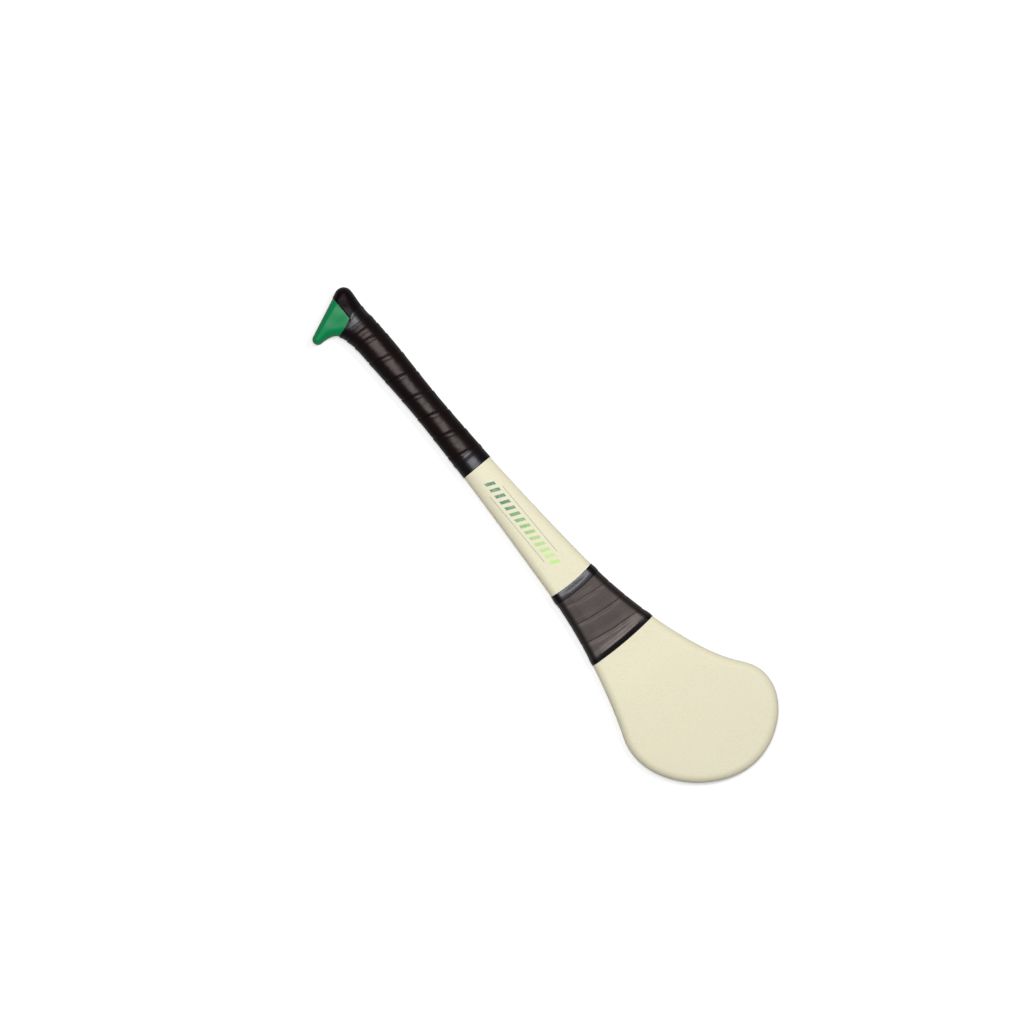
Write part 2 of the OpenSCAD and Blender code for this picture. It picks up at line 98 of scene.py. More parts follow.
# The pocket for the spar's tenon: its length, width and thickness
POCKET = (22.1, 15.2, 11.2)
# The fine groove where the two halves of a moulding meet
PARTING_DEPTH = 0.22
PARTING_WIDTH = 0.9

# Tapes
TAPE_GAP = 0.08
TAPE_RELIEF = 1.33
STRAP_THICKNESS = 0.45
STRAP_EDGE = 2.0
STRAP_START_SHARE = 0.23
CAP_RELIEF = SANDING + TAPE_GAP + STRAP_THICKNESS
NECK_TAPE_SHARE = 0.3
NECK_TAPE_ON_CAP = 0.86
NECK_TAPE_END = CAP_LENGTH + 2.5
GRIP_END = 218.4
GRIP_FINISH_WIDTH = 16.5
GRIP_FINISH_START = GRIP_END - GRIP_FINISH_WIDTH
THROAT_START = 360.0
THROAT_END = 437.0
THROAT_UPPER_WIDTH = 9.6
THROAT_LOWER_WIDTH = 4.4
THROAT_BOW = 2.0

# Knots of the two edges: x, y, heading in degrees, and the pull before and after, as shares of the
# distance to the next knot on that side
TOE_KNOTS = [
    (CAP_LENGTH, NECK_TOE_SIDE, 6, 0, 0.271),
    (SWELL_X, SWELL_TOE_SIDE, 1.5, 0.339, 0.3055),
    (WAIST_X, WAIST_TOE_SIDE, 0, 0.361, 0.255),
    (SHAFT_END, SHAFT_TOE_SIDE, 5, 0.3255, 0.254),
    (LENGTH - TOE_BACK - TOE_BEND[0], TOE_REACH - TOE_BEND[1], 31, 0.293, 0.393),
    (LENGTH - TOE_BACK, TOE_REACH, 0, 0.4045, 0.3675),
    (LENGTH, FAR_END_Y, -90, 0.3445, 0),
]
HOOK_KNOTS = [
    (CAP_LENGTH, -NECK_HOOK_SIDE, 35, 0, 0.133),
    (SWELL_X, -SWELL_HOOK_SIDE, 1, 0.566, 0.3055),
    (WAIST_X, -WAIST_HOOK_SIDE, 0, 0.361, 0.255),
    (SHAFT_END, -SHAFT_HOOK_SIDE, -4, 0.3255, 0.3145),
    (LENGTH - HEEL_BACK - HEEL_BEND[0], -HEEL_REACH + HEEL_BEND[1], -19.5, 0.293, 0.4245),
    (LENGTH - HEEL_BACK, -HEEL_REACH, 0, 0.4245, 0.333),
    (LENGTH, FAR_END_Y, 90, 0.368, 0),
]
# The knot at the end of the shaft
SHAFT_KNOT = 3


def smooth(t):
    s = np.clip(t, 0.0, 1.0)
    return s * s * (3 - 2 * s)


def mix(a, b, t):
    return a + (b - a) * t


def unit(v):
    return v / np.linalg.norm(v, axis=-1, keepdims=True)


def heading(degrees):
    a = np.radians(degrees)
    return np.stack([np.cos(a), np.sin(a)], axis=-1)


def pull(a, b):
    p0, p3 = np.array(a[:2], float), np.array(b[:2], float)
    away = np.linalg.norm(p3 - p0)
    return p0, p0 + a[4] * away * heading(a[2]), p3 - b[3] * away * heading(b[2]), p3


def curve(a, b, t):
    p, t = pull(a, b), np.atleast_1d(t)[:, None]
    s = 1 - t
    return s**3 * p[0] + 3 * s * s * t * p[1] + 3 * s * t * t * p[2] + t**3 * p[3]


def curve_way(a, b, t):
    p, t = pull(a, b), np.atleast_1d(t)[:, None]
    s = 1 - t
    return unit(s * s * (p[1] - p[0]) + 2 * s * t * (p[2] - p[1]) + t * t * (p[3] - p[2]))


def edge_table(knots):
    """Points close together along one edge, from the cap to the widest part of the bas."""
    shares = np.linspace(0, 1, 400)
    return np.concatenate([curve(knots[i], knots[i + 1], shares) for i in range(SHAFT_KNOT + 1)])


TOE_TABLE = edge_table(TOE_KNOTS)
HOOK_TABLE = edge_table(HOOK_KNOTS)


def on_handle(x):
    """1 on the handle, falling to 0 at the end of the shaft."""
    return 1 - smooth((x - GRIP_END) / (SHAFT_END - GRIP_END))


def half_thickness(p):
    """Half the moulded stick's thickness at points in plan, less what the tapes fill."""
    x, y = p[..., 0], p[..., 1]
    bend = smooth((CAP_DROP[1] - x) / CREST_RUN)
    off = y + CREST_SHIFT * bend
    drop = np.where(off > 0, mix(FACE_CROWN, CAP_CROWN, bend), FACE_CROWN)
    crown = drop * smooth(np.abs(off) / CROWN_REACH) * on_handle(x)
    plane = BUTT_HALF - (BUTT_HALF - TOE_HALF) * x / LENGTH
    cap_relief = mix(CAP_RELIEF, TAPE_RELIEF, smooth((x - CAP_DROP[0]) / (CAP_DROP[1] - CAP_DROP[0])))
    bas_relief = TAPE_RELIEF * (1 - smooth((x - BAS_START) / BAS_RISE))
    thin = HOOK_THINNING * smooth((-y - NECK_HOOK_SIDE) / (HOOK_REACH - NECK_HOOK_SIDE))
    return plane - crown - np.where(x < CAP_LENGTH, cap_relief + thin, bas_relief)


# Stations across the stick: the two edge points, the way inwards from each, and the rounding
Stations = namedtuple("Stations", "toe toe_in hook hook_in rounding")


def stick_stations(x):
    x = np.asarray(x, float)
    across = np.zeros((len(x), 2))
    across[:, 1] = 1.0
    toe = np.stack([x, np.interp(x, TOE_TABLE[:, 0], TOE_TABLE[:, 1])], axis=-1)
    hook = np.stack([x, np.interp(x, HOOK_TABLE[:, 0], HOOK_TABLE[:, 1])], axis=-1)
    return Stations(toe, -across, hook, across, mix(BAS_ROUNDING, HANDLE_ROUNDING, on_handle(x)))


def share_at(knots, i, x):
    """Share of a curve at which it reaches x."""
    shares = np.linspace(0, 1, 2000)
    return float(np.interp(x, curve(knots[i], knots[i + 1], shares)[:, 0], shares))


def bas_stations(i, shares):
    a, b, c, d = TOE_KNOTS[i], TOE_KNOTS[i + 1], HOOK_KNOTS[i], HOOK_KNOTS[i + 1]
    first = i == SHAFT_KNOT
    t = mix(share_at(TOE_KNOTS, i, BAS_START), 1, shares) if first else shares
    u = mix(share_at(HOOK_KNOTS, i, BAS_START), 1, shares) if first else shares
    turn = (smooth(shares) if first else np.ones(len(shares)))[:, None]
    v, w = curve_way(a, b, t), curve_way(c, d, u)
    toe_in = np.stack([v[:, 1], -v[:, 0]], axis=-1)
    hook_in = np.stack([-w[:, 1], w[:, 0]], axis=-1)
    return Stations(curve(a, b, t), unit(mix(np.array([0.0, -1.0]), toe_in, turn)),
                    curve(c, d, u), unit(mix(np.array([0.0, 1.0]), hook_in, turn)),
                    np.full(len(shares), BAS_ROUNDING))


def joined(*parts):
    return Stations(*[np.concatenate(fields) for fields in zip(*parts)])


def surface(st, reach, side, out):
    """Points of the surface at all stations. Reach runs from 0 at the toe side edge, over the rim
    to 1, across the face to 2 and down the other rim to 3. Out is the distance outside."""
    if 1 < reach < 2:
        toe_face = st.toe + st.toe_in * st.rounding[:, None]
        hook_face = st.hook + st.hook_in * st.rounding[:, None]
        p = mix(toe_face, hook_face, reach - 1)
        z = side * (half_thickness(p) + out)
    else:
        toe_side = reach <= 1
        edge, inwards = (st.toe, st.toe_in) if toe_side else (st.hook, st.hook_in)
        angle = math.radians(90 * (reach if toe_side else 3 - reach))
        p = edge + inwards * ((st.rounding + out) * (1 - math.cos(angle)) - out)[:, None]
        z = side * (half_thickness(p) + out) * math.sin(angle)
    return np.concatenate([p, z[:, None]], axis=1)


def laid(points):
    """From the stick's own frame, in millimetres, to the model's frame, in metres."""
    x, y, z = points[..., 0], points[..., 1], points[..., 2]
    c, s = math.cos(LIE), math.sin(LIE)
    moved = np.stack([x * c + z * s - LENGTH * c / 2, y - MIDDLE_Y,
                      z * c - x * s + BUTT_HALF * c - SANDING], axis=-1)
    return moved * MM


def pressed_flat(points):
    """Points no lower than the surface that the stick lies on."""
    return np.stack([points[..., 0], points[..., 1], np.maximum(points[..., 2], 0.0)], axis=-1)


# Reaches over one rim, close together at the parting line, and over the whole of one face
RIM = [0.0, 0.02, 0.05, 0.09, 0.14, 0.2, 0.27, 0.35, 0.43, 0.51, 0.59, 0.67, 0.75, 0.83, 0.91, 1.0]
FACE = [1 + i / 10 for i in range(1, 10)]
HALF_ROUND = RIM + FACE + [3 - r for r in reversed(RIM)]
ALL_ROUND = [(r, 1) for r in HALF_ROUND] + [(r, -1) for r in reversed(HALF_ROUND[1:-1])]


# About how far it is over the handle's rim, from the edge to the face
RIM_RUN = 18.0


def parting_dip(reach):
    """The two halves of a moulding meet in a fine groove along the rim."""
    from_edge = min(reach, 3 - reach) * RIM_RUN
    return PARTING_DEPTH * (1 - float(smooth(from_edge / PARTING_WIDTH)))


def mesh_piece(name, points, faces, material, sharp=40):
    """A piece with its place in its mesh, doubles merged and faces pointing outwards."""
    mesh = bpy.data.meshes.new(name)
    mesh.from_pydata([tuple(p) for p in points], [], faces)
    work = bmesh.new()
    work.from_mesh(mesh)
    bmesh.ops.remove_doubles(work, verts=work.verts, dist=1e-6)
    bmesh.ops.dissolve_degenerate(work, edges=work.edges, dist=1e-7)
    bmesh.ops.recalc_face_normals(work, faces=work.faces)
    work.to_mesh(mesh)
    work.free()
    for polygon in mesh.polygons:
        polygon.use_smooth = True
    mesh.set_sharp_from_angle(angle=math.radians(sharp))
    mesh.materials.append(material)
    piece = bpy.data.objects.new(name, mesh)
    bpy.context.scene.collection.objects.link(piece)
    return piece


def ring_faces(rows, cols, closed_rows=False):
    """Faces of a grid of rows whose columns close into rings."""
    faces = []
    for j in range(rows if closed_rows else rows - 1):
        k = (j + 1) % rows
        for i in range(cols):
            n = (i + 1) % cols
            faces.append((j * cols + i, j * cols + n, k * cols + n, k * cols + i))
    return faces


def evaluated_copy(piece):
    """Applies a piece's modifiers and removes them."""
    depsgraph = bpy.context.evaluated_depsgraph_get()
    mesh = bpy.data.meshes.new_from_object(piece.evaluated_get(depsgraph))
    old = piece.data
    piece.modifiers.clear()
    piece.data = mesh
    bpy.data.meshes.remove(old)
    mesh.name = piece.name
    return piece


def place(piece, node):
    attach(piece, "root")
    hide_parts(node)


# Materials


def colour(code):
    """A hex sRGB colour as linear RGBA."""
    parts = [int(code[i:i + 2], 16) / 255 for i in (1, 3, 5)]
    return tuple(c / 12.92 if c <= 0.04045 else ((c + 0.055) / 1.055)**2.4 for c in parts) + (1.0,)


def add(tree, kind, inputs=None, **settings):
    """Adds a node with its settings, and sets or links its inputs by name or number. A node given
    as an input stands for its first output."""
    node = tree.nodes.new(kind)
    for key, value in settings.items():
        setattr(node, key, value)
    for key, value in (inputs or {}).items():
        if isinstance(value, bpy.types.Node):
            value = next(s for s in value.outputs if s.enabled)
        if isinstance(value, bpy.types.NodeSocket):
            tree.links.new(value, node.inputs[key])
        else:
            node.inputs[key].default_value = value
    return node


def new_material(name):
    material = bpy.data.materials.new(name)
    material.use_nodes = True
    tree = material.node_tree
    tree.nodes.clear()
    return material, tree


def finish_surface(tree, shader):
    add(tree, "ShaderNodeOutputMaterial", {"Surface": shader})


CREAM = "#e3dfc6"
CREAM_SPECKLE = "#cdc7a8"
CREAM_WARM = "#e6dfc0"


def cream_colour(tree, place_node):
    """The cream body colour: soft clouds of warmer tint, with fine darker specks in it."""
    clouds = add(tree, "ShaderNodeTexNoise", {"Vector": place_node, "Scale": 18.0, "Detail": 3.0})
    base = add(tree, "ShaderNodeMix", {0: clouds, 6: colour(CREAM), 7: colour(CREAM_WARM)},
               data_type="RGBA")
    specks = add(tree, "ShaderNodeTexNoise", {"Vector": place_node, "Scale": 700.0, "Detail": 2.0})
    amount = add(tree, "ShaderNodeMapRange", {0: specks, 1: 0.5, 2: 0.75, 3: 0.0, 4: 0.4})
    return add(tree, "ShaderNodeMix", {0: amount, 6: base.outputs[2], 7: colour(CREAM_SPECKLE)},
               data_type="RGBA").outputs[2]


def cream_moulding(name, printed):
    """Glass-filled nylon with a matt moulded skin: it scatters light evenly, with a faint broad
    sheen, and a fine grain of about 0.6 mm shows close up."""
    material, tree = new_material(name)
    where = add(tree, "ShaderNodeTexCoord").outputs["Object"]
    base = cream_colour(tree, where)
    if printed:
        base = with_print(tree, where, base)
    grain = add(tree, "ShaderNodeTexNoise", {"Vector": where, "Scale": 1600.0, "Detail": 3.0})
    rough = add(tree, "ShaderNodeMapRange", {0: grain, 3: 0.5, 4: 0.62})
    bump = add(tree, "ShaderNodeBump", {"Height": grain, "Strength": 0.25, "Distance": 0.0001})
    finish_surface(tree, add(tree, "ShaderNodeBsdfPrincipled", {
        "Base Color": base, "Roughness": rough, "Normal": bump, "IOR": 1.5,
        "Specular IOR Level": 0.4}))
    return material


PRINT_GREEN = "#3c7f60"
PRINT_LIME = "#b9e884"
PRINT_GREY = "#a9ad96"
PRINT_EDGE = 0.2
# Printed areas are from x, to x, from y, to y
BAR_ROW = (236.0, 341.0, -4.5, 4.5)
BAR_PITCH = 7.5
BAR_WIDTH = 3.6
BAR_LEAN = -0.45
PRINT_FADE = (262.0, 326.0)
THIN_LINES = ((248.0, 330.0, -8.4, -7.6), (248.0, 330.0, 7.6, 8.4))


def between(tree, value, low, high):
    """1 where a value in millimetres lies between low and high, with a slightly soft edge."""
    up = add(tree, "ShaderNodeMapRange", {0: value, 1: low - PRINT_EDGE, 2: low + PRINT_EDGE})
    down = add(tree, "ShaderNodeMapRange", {0: value, 1: high - PRINT_EDGE, 2: high + PRINT_EDGE, 3: 1.0,
                                            4: 0.0})
    return add(tree, "ShaderNodeMath", {0: up, 1: down}, operation="MULTIPLY")


def printed_area(tree, along, across, box):
    """A mask for a plain rectangle: from x, to x, from y, to y."""
    return add(tree, "ShaderNodeMath", {0: between(tree, along, box[0], box[1]),
                                        1: between(tree, across, box[2], box[3])}, operation="MULTIPLY")


def printed_bars(tree, leaning, across, box, pitch, width):
    """A mask for a row of leaning bars."""
    local = add(tree, "ShaderNodeMath", {0: leaning, 1: box[0]}, operation="SUBTRACT")
    part = add(tree, "ShaderNodeMath", {0: local, 1: pitch}, operation="FLOORED_MODULO")
    bars = between(tree, part, 1.0, 1.0 + width)
    return add(tree, "ShaderNodeMath", {0: bars, 1: printed_area(tree, leaning, across, box)},
               operation="MULTIPLY")


def with_print(tree, where, base):
    """Plain bars and lines hold the place of the print on the shaft's face."""
    placed = add(tree, "ShaderNodeMapping", {"Vector": where, "Location": (LENGTH / 2, MIDDLE_Y, 0.0),
                                             "Scale": (1 / MM, 1 / MM, 1 / MM)})
    axes = add(tree, "ShaderNodeSeparateXYZ", {0: placed}).outputs
    along, across = axes["X"], axes["Y"]
    leaning = add(tree, "ShaderNodeMath", {0: across, 1: BAR_LEAN, 2: along}, operation="MULTIPLY_ADD")
    lime = add(tree, "ShaderNodeMapRange", {0: along, 1: PRINT_FADE[0], 2: PRINT_FADE[1]})
    bar_colour = add(tree, "ShaderNodeMix", {0: lime, 6: colour(PRINT_GREEN), 7: colour(PRINT_LIME)},
                     data_type="RGBA").outputs[2]
    layers = [(printed_bars(tree, leaning, across, BAR_ROW, BAR_PITCH, BAR_WIDTH), bar_colour)]
    layers += [(printed_area(tree, along, across, line), colour(PRINT_GREY)) for line in THIN_LINES]
    worn = add(tree, "ShaderNodeTexNoise", {"Vector": where, "Scale": 420.0, "Detail": 3.0})
    hold = add(tree, "ShaderNodeMapRange", {0: worn, 1: 0.3, 2: 0.5, 3: 0.55, 4: 0.92})
    up = add(tree, "ShaderNodeMath", {0: axes["Z"], 1: BUTT_HALF}, operation="GREATER_THAN")
    ink = add(tree, "ShaderNodeMath", {0: hold, 1: up}, operation="MULTIPLY")
    for mask, print_colour in layers:
        amount = add(tree, "ShaderNodeMath", {0: mask, 1: ink}, operation="MULTIPLY")
        base = add(tree, "ShaderNodeMix", {0: amount, 6: base, 7: print_colour}, data_type="RGBA").outputs[2]
    return base


def green_cap_plastic():
    """Moulded polypropylene with a satin face: a soft wide highlight over a deep green."""
    material, tree = new_material("satin green polypropylene")
    where = add(tree, "ShaderNodeTexCoord").outputs["Object"]
    flow = add(tree, "ShaderNodeTexNoise", {"Vector": where, "Scale": 70.0, "Detail": 4.0})
    base = add(tree, "ShaderNodeMix", {0: flow, 6: colour("#047a43"), 7: colour("#07834f")},
               data_type="RGBA")
    grain = add(tree, "ShaderNodeTexNoise", {"Vector": where, "Scale": 1500.0, "Detail": 2.0})
    rough = add(tree, "ShaderNodeMapRange", {0: flow, 3: 0.34, 4: 0.44})
    bump = add(tree, "ShaderNodeBump", {"Height": grain, "Strength": 0.12, "Distance": 0.0001})
    finish_surface(tree, add(tree, "ShaderNodeBsdfPrincipled", {
        "Base Color": base.outputs[2], "Roughness": rough, "Normal": bump, "IOR": 1.49,
        "Specular IOR Level": 0.17}))
    return material


# How much less rough a tape is where play has rubbed it most
RUBBED_GLOSS = 0.07


def black_tape(name, body, worn, tint, grain_mm, grain_depth_mm, rough, sheen, folds, fold_depth_mm,
               rubbed=None):
    """Soft black polyurethane or vinyl tape: nearly black where it turns away, with a broad satin
    sheen where it faces the light, a fine pebbled grain, and small folds where it was pulled tight.
    Folds is how many there are to a metre along, across and through the stick. Rubbed is the part
    of the stick, from x to x, over which play has rubbed the tape ever smoother."""
    material, tree = new_material(name)
    where = add(tree, "ShaderNodeTexCoord").outputs["Object"]
    patches = add(tree, "ShaderNodeTexNoise", {"Vector": where, "Scale": 90.0, "Detail": 4.0})
    base = add(tree, "ShaderNodeMix", {0: patches, 6: colour(body), 7: colour(worn)}, data_type="RGBA")
    grain = add(tree, "ShaderNodeTexVoronoi", {"Vector": where, "Scale": 1 / (grain_mm * MM)},
                feature="SMOOTH_F1")
    gloss = add(tree, "ShaderNodeMapRange", {0: patches, 3: rough - 0.04, 4: rough + 0.04})
    if rubbed:
        along = add(tree, "ShaderNodeSeparateXYZ", {0: where}).outputs["X"]
        smoothed = add(tree, "ShaderNodeMapRange", {
            0: along, 1: (rubbed[0] - LENGTH / 2) * MM, 2: (rubbed[1] - LENGTH / 2) * MM, 3: 0.0,
            4: RUBBED_GLOSS}, interpolation_type="SMOOTHSTEP")
        gloss = add(tree, "ShaderNodeMath", {0: gloss, 1: smoothed}, operation="SUBTRACT")
    stretched = add(tree, "ShaderNodeMapping", {"Vector": where, "Rotation": (0.0, 0.0, math.radians(9)),
                                                "Scale": folds})
    puckers = add(tree, "ShaderNodeTexNoise", {"Vector": stretched, "Scale": 1.0, "Detail": 3.0})
    creased = add(tree, "ShaderNodeBump", {"Height": puckers, "Strength": 1.0,
                                           "Distance": fold_depth_mm * MM})
    bump = add(tree, "ShaderNodeBump", {"Height": grain, "Strength": 0.3, "Normal": creased,
                                        "Distance": grain_depth_mm * MM})
    finish_surface(tree, add(tree, "ShaderNodeBsdfPrincipled", {
        "Base Color": base.outputs[2], "Roughness": gloss, "Normal": bump, "IOR": 1.45,
        "Specular IOR Level": sheen, "Specular Tint": colour(tint)}))
    return material


def foam_plastic():
    """Rigid structural foam: pale, matt and full of small closed cells."""
    material, tree = new_material("rigid structural foam")
    where = add(tree, "ShaderNodeTexCoord").outputs["Object"]
    cells = add(tree, "ShaderNodeTexVoronoi", {"Vector": where, "Scale": 900.0})
    base = add(tree, "ShaderNodeMix", {0: cells, 6: colour("#cdb97c"), 7: colour("#e9d8a0")},
               data_type="RGBA")
    bump = add(tree, "ShaderNodeBump", {"Height": cells, "Strength": 0.6, "Distance": 0.0003})
    finish_surface(tree, add(tree, "ShaderNodeBsdfPrincipled", {
        "Base Color": base.outputs[2], "Roughness": 0.85, "Normal": bump}))
    return material


def fibre_resin():
    """Pultruded carbon and glass fibre: dark, with fine bright streaks along the handle."""
    material, tree = new_material("pultruded fibre and resin")
    where = add(tree, "ShaderNodeTexCoord").outputs["Object"]
    along = add(tree, "ShaderNodeMapping", {"Vector": where, "Scale": (20.0, 1500.0, 1500.0)})
    streaks = add(tree, "ShaderNodeTexNoise", {"Vector": along, "Scale": 1.0, "Detail": 3.0})
    base = add(tree, "ShaderNodeMix", {0: streaks, 6: colour("#242427"), 7: colour("#54545a")},
               data_type="RGBA")
    finish_surface(tree, add(tree, "ShaderNodeBsdfPrincipled", {
        "Base Color": base.outputs[2], "Roughness": 0.45, "IOR": 1.55}))
    return material


cream_front = cream_moulding("matt cream nylon front", True)
cream_back = cream_moulding("matt cream nylon back", False)
green_plastic = green_cap_plastic()
grip_tape = black_tape("black polyurethane grip tape", body="#0e0709", worn="#150c0e", tint="#fff1ec",
                       grain_mm=0.8, grain_depth_mm=0.04, rough=0.37, sheen=0.24,
                       folds=(200, 120, 120), fold_depth_mm=0.45)
vinyl_tape = black_tape("black vinyl tape", body="#080406", worn="#0f080b", tint="#f4f6ff",
                        grain_mm=0.5, grain_depth_mm=0.02, rough=0.35, sheen=0.44,
                        folds=(70, 45, 45), fold_depth_mm=0.35)
strap_tape = black_tape("black cloth strap tape", body="#0b0508", worn="#12090c", tint="#fff0f6",
                        grain_mm=0.5, grain_depth_mm=0.03, rough=0.42, sheen=0.14,
                        folds=(150, 150, 150), fold_depth_mm=0.5)
throat_tape = black_tape("black rubberised cloth tape", body="#0c0607", worn="#150c0d", tint="#fff0ea",
                         grain_mm=0.6, grain_depth_mm=0.04, rough=0.5, sheen=0.8,
                         folds=(900, 60, 60), fold_depth_mm=0.16, rubbed=(414.0, 431.0))


# The two moulded shells


def shell_stations():
    places = np.linspace(CAP_LENGTH + JOINT_GAP, BAS_START, 170)[:-1]
    ends = np.linspace(0, 1, 30)[:-1], np.linspace(0, 1, 26)[:-1], np.linspace(0, 1, 60)
    return joined(stick_stations(places), *[bas_stations(SHAFT_KNOT + i, s) for i, s in enumerate(ends)])


def moulded_shell(name, side, material):
    """One half of the stick's skin: its outer face, its inner face and the joint between them."""
    st = shell_stations()
    outer = [surface(st, r, side, -parting_dip(r)) for r in HALF_ROUND]
    inner = [surface(st, r, side, -WALL) for r in reversed(HALF_ROUND)]
    rows = pressed_flat(laid(np.stack(outer + inner, axis=1)))
    count, cols = rows.shape[:2]
    faces = ring_faces(count, cols)
    faces += [(i, i + 1, cols - 2 - i, cols - 1 - i) for i in range(cols // 2 - 1)]
    return mesh_piece(name, rows.reshape(-1, 3), faces, material)


place(moulded_shell("moulded_front_shell", 1, cream_front), "front_skin")
place(moulded_shell("moulded_back_shell", -1, cream_back), "back_skin")


# The heel cap

CORNER = np.array([CORNER_RADIUS + TAPE_GAP + STRAP_THICKNESS, CORNER_REACH - CORNER_RADIUS])
TIP = np.array([HOOK_X, -HOOK_REACH + HOOK_RADIUS])
END_FACE_ANGLE = (180 + math.degrees(math.atan2(TIP[0] - CORNER[0], CORNER[1] - TIP[1]))
                  + math.degrees(math.asin((CORNER_RADIUS - HOOK_RADIUS) / np.linalg.norm(TIP - CORNER))))
TOP_EDGE = ((CAP_LENGTH, NECK_TOE_SIDE, 186, 0, 0.3625), (CORNER[0], CORNER_REACH, 180, 0.2175, 0))
HOOK_INSIDE = ((CAP_LENGTH, -NECK_HOOK_SIDE, -145, 0, 0.3135), (HOOK_X + HOOK_RADIUS, TIP[1], -90, 0.4705, 0))
# Shares of the hook's inside that lie opposite the ends of the top edge and of the corner
INSIDE_SHARES = (0.3, 0.42)
# Share of the top edge over which the stations turn away from straight across
CAP_TURN = 0.7


def cap_side(v):
    """The cap's outer side at v from 0 to 4: its point and the way inwards."""
    if v < 1:
        w = curve_way(*TOP_EDGE, v)[0]
        return curve(*TOP_EDGE, v)[0], np.array([-w[1], w[0]])
    if v < 2:
        n = heading(mix(90, END_FACE_ANGLE, v - 1))
        return CORNER + CORNER_RADIUS * n, -n
    n = heading(END_FACE_ANGLE if v < 3 else mix(END_FACE_ANGLE, 270, v - 3))
    if v < 3:
        return mix(CORNER + CORNER_RADIUS * n, TIP + HOOK_RADIUS * n, v - 2), -n
    return TIP + HOOK_RADIUS * n, -n


def cap_inside(v):
    """The inner side of the hook at v."""
    if v >= 3:
        n = heading(-90 * (v - 3))
        return TIP + HOOK_RADIUS * n, -n
    first, second = INSIDE_SHARES
    t = first * v * v if v < 1 else mix(first, second, v - 1) if v < 2 else mix(second, 1, v - 2)
    w = curve_way(*HOOK_INSIDE, t)[0]
    return curve(*HOOK_INSIDE, t)[0], np.array([w[1], -w[0]])


def cap_rounding(v):
    if v < 1:
        return mix(HANDLE_ROUNDING, CAP_ROUNDING, smooth(v))
    return mix(CAP_ROUNDING, HOOK_ROUNDING, smooth(v - 2))


def cap_stations(places):
    sides, insides = [cap_side(v) for v in places], [cap_inside(v) for v in places]
    turn = smooth(np.asarray(places) / CAP_TURN)[:, None]
    toe_in = unit(mix(np.array([0.0, -1.0]), np.array([s[1] for s in sides]), turn))
    hook_in = unit(mix(np.array([0.0, 1.0]), np.array([s[1] for s in insides]), turn))
    return Stations(np.array([s[0] for s in sides]), toe_in, np.array([s[0] for s in insides]), hook_in,
                    np.array([float(cap_rounding(v)) for v in places]))


def tenon_ring(x):
    """A rectangle of the tenon's pocket, with a point for each point of ALL_ROUND."""
    half_w, half_t = POCKET[1] / 2, POCKET[2] / 2
    ring = []
    for reach, side in ALL_ROUND:
        y = half_w if reach <= 0.5 else -half_w if reach >= 2.5 else half_w * (1.5 - reach)
        z = side * half_t * min(1.0, 2 * min(reach, 3 - reach))
        ring.append((x, y, z))
    return np.array(ring)


def heel_cap():
    """The hooked cap, from its pocket for the tenon to the tip of the hook."""
    places = np.concatenate([np.linspace(i, i + 1, n)[:-1] for i, n in enumerate((22, 26, 30, 26))] + [[4.0]])
    st = cap_stations(places)
    rows = np.stack([surface(st, r, side, -parting_dip(r)) for r, side in ALL_ROUND], axis=1)
    mouth, floor = tenon_ring(CAP_LENGTH), tenon_ring(CAP_LENGTH - POCKET[0])
    rows = laid(np.concatenate([floor[None], mouth[None], rows]))
    cols = rows.shape[1]
    faces = ring_faces(rows.shape[0], cols) + [tuple(range(cols))]
    return mesh_piece("green_heel_cap", rows.reshape(-1, 3), faces, green_plastic)


place(heel_cap(), "heel_cap")


def heel_strap():
    """A wide piece of tape over the butt, cut straight along its edge and thickened inwards."""
    places = np.concatenate([np.linspace(STRAP_START_SHARE, 1, 22)[:-1], np.linspace(1, 2, 30)[:-1],
                             np.linspace(2, 3, 34)])
    rows = np.stack([surface(cap_stations(places), r, side, TAPE_GAP + STRAP_THICKNESS)
                     for r, side in ALL_ROUND], axis=1)
    points = laid(rows)
    piece = mesh_piece("heel_strap_tape", points.reshape(-1, 3), ring_faces(*rows.shape[:2]), strap_tape)
    work = bmesh.new()
    work.from_mesh(piece.data)
    edge = (0.0, (-STRAP_EDGE - MIDDLE_Y) * MM, 0.0)
    bmesh.ops.bisect_plane(work, geom=work.verts[:] + work.edges[:] + work.faces[:], plane_co=edge,
                           plane_no=(0, -1, 0), clear_outer=True)
    work.to_mesh(piece.data)
    work.free()
    wall = piece.modifiers.new("thickness", "SOLIDIFY")
    wall.thickness = STRAP_THICKNESS * MM
    wall.offset = -1.0
    wall.use_even_offset = True
    return evaluated_copy(piece)


place(heel_strap(), "heel_strap")


# Bands of tape


def band_section(width, thickness, crown):
    """The closed outline of a band: share along it and height, rounded at both edges."""
    top = []
    for share in (0.0, 0.02, 0.05, 0.1, 0.18, 0.3, 0.42, 0.5, 0.58, 0.7, 0.82, 0.9, 0.95, 0.98, 1.0):
        from_edge = min(share, 1 - share) * width
        edge = math.sqrt(1 - (1 - min(from_edge / (0.6 * thickness), 1.0))**2)
        swell = 1 - crown * (2 * share - 1)**2
        top.append((share, TAPE_GAP + thickness * (0.35 + 0.65 * edge) * swell))
    return top + [(share, TAPE_GAP) for share, _ in reversed(top)]


def band(name, stations_at, outline, material, lift_at):
    """A closed band whose outline is carried round the stick and lifted over what lies under it."""
    rows = []
    for share, out in outline:
        st = stations_at(share)
        seats = [surface(st, r, side, 0.0)[0] for r, side in ALL_ROUND]
        rows.append([surface(st, r, side, out + lift_at(share, seat))[0]
                     for (r, side), seat in zip(ALL_ROUND, seats)])
    rows = pressed_flat(laid(np.array(rows)))
    faces = ring_faces(rows.shape[0], rows.shape[1], True)
    return mesh_piece(name, rows.reshape(-1, 3), faces, material)


